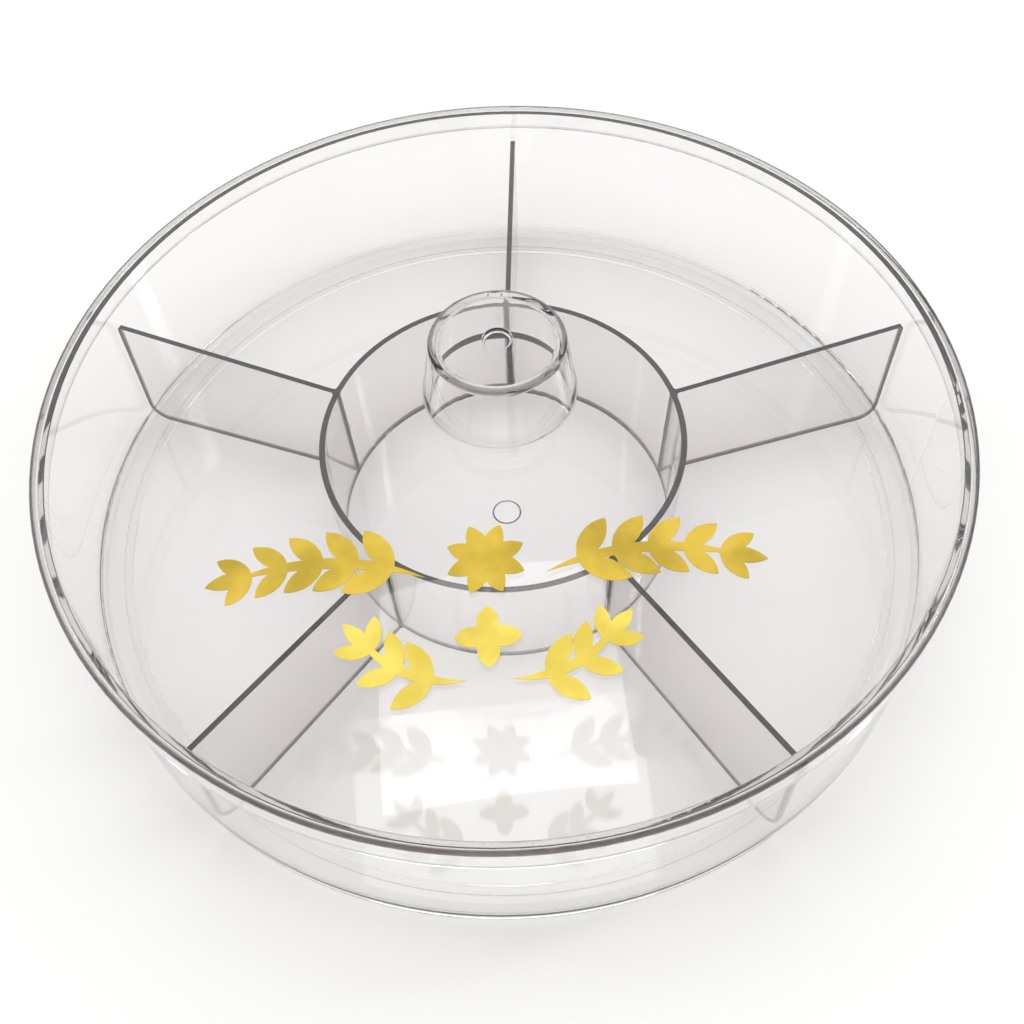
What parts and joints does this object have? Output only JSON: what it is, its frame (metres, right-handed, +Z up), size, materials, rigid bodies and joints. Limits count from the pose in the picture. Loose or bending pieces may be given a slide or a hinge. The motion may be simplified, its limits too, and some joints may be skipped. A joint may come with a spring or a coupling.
{
  "type": "seder plate",
  "caption": "Round clear plastic seder plate: a deep tray with a lift-out divider insert and a low lid with a hollow knob and gold leaf film.",
  "frame": {"origin": "centre of the foot ring, on the surface the plate stands on", "axes": "+Z up along the axis of tray, ring and knob; -Y towards the side with the gold film"},
  "size_m": [0.3, 0.3, 0.095],
  "materials": {
    "clear_tray": "clear polished plastic",
    "clear_insert": "clear polished plastic",
    "clear_lid": "clear polished plastic",
    "gold_film": "metallic gold film"
  },
  "bodies": {
    "tray": {"tray": "clear_tray"},
    "insert": {"divider_insert": "clear_insert"},
    "lid": {"lid": "clear_lid", "film_bud": "gold_film", "film_laurel_left": "gold_film", "film_laurel_right": "gold_film", "film_rosette": "gold_film", "film_sprig_left": "gold_film", "film_sprig_right": "gold_film"}
  },
  "joints": [
    {"name": "insert_lift", "type": "slide", "parent": "tray", "child": "insert", "axis": [0, 0, 1], "range_m": [0, 0.08]},
    {"name": "lid_lift", "type": "slide", "parent": "insert", "child": "lid", "axis": [0, 0, 1], "range_m": [0, 0.1]}
  ]
}
